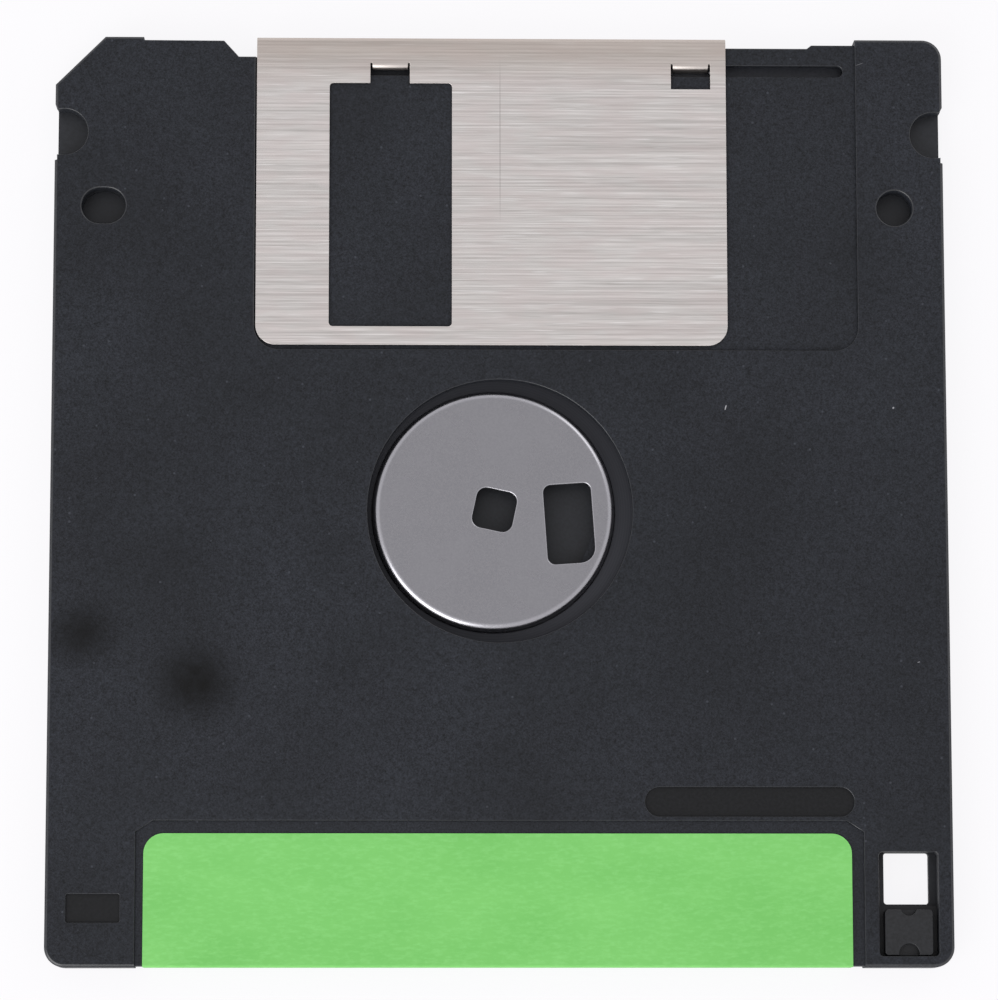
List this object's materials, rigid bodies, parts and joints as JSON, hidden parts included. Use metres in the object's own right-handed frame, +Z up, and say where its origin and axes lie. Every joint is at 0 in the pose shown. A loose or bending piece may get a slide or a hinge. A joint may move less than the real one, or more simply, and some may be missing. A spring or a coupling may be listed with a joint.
{
  "type": "floppy disk",
  "caption": "Small removable magnetic disk in a hard case, with a sliding metal shutter, a spindle hub, a write-protect slider and a blank paper label.",
  "frame": {"origin": "centre of the bottom of the bounding box: the disk lies flat on its label side", "axes": "+Z up out of the hub side, +Y towards the shutter end, +X across to the right, seen on the hub side with the shutter end at the top"},
  "size_m": [0.09, 0.094, 0.0033],
  "materials": {
    "case_plastic": "injection-moulded ABS, fine spark-eroded texture, dark blue-grey",
    "slider_plastic": "moulded ABS, smooth, dark grey",
    "shutter_steel": "stainless sheet brushed across its width",
    "hub_steel": "dull ferritic stainless, stamped and tumbled",
    "spring_wire": "drawn spring wire",
    "coated_film": "polyester film with a smooth dark oxide coating",
    "adhesive": "double-sided adhesive ring",
    "liner_fleece": "non-woven fleece, off-white",
    "leaf_film": "bent polyester leaf",
    "label_paper": "green label paper, uncoated, blank"
  },
  "bodies": {
    "case": {"hub_side_shell": "case_plastic", "label_side_shell": "case_plastic", "shutter_spring": "spring_wire", "hub_side_liner": "liner_fleece", "label_side_liner": "liner_fleece", "lifter_leaf": "leaf_film", "paper_label": "label_paper"},
    "shutter": {"shutter": "shutter_steel"},
    "disc": {"magnetic_disc": "coated_film", "hub": "hub_steel", "hub_adhesive_ring": "adhesive"},
    "slider": {"write_protect_tab": "slider_plastic"}
  },
  "joints": [
    {"name": "shutter_slide", "type": "slide", "parent": "case", "child": "shutter", "axis": [1, 0, 0], "range_m": [0, 0.0125], "stiffness_N_per_m": 20, "springref_m": -0.015, "deforming": ["shutter_spring"]},
    {"name": "disc_spin", "type": "hinge", "parent": "case", "child": "disc", "pos_m": [-0.00065, -0.0015, 0.0031], "axis": [0, 0, 1], "continuous": true},
    {"name": "write_protect_slide", "type": "slide", "parent": "case", "child": "slider", "axis": [0, 1, 0], "range_m": [0, 0.0052]}
  ]
}
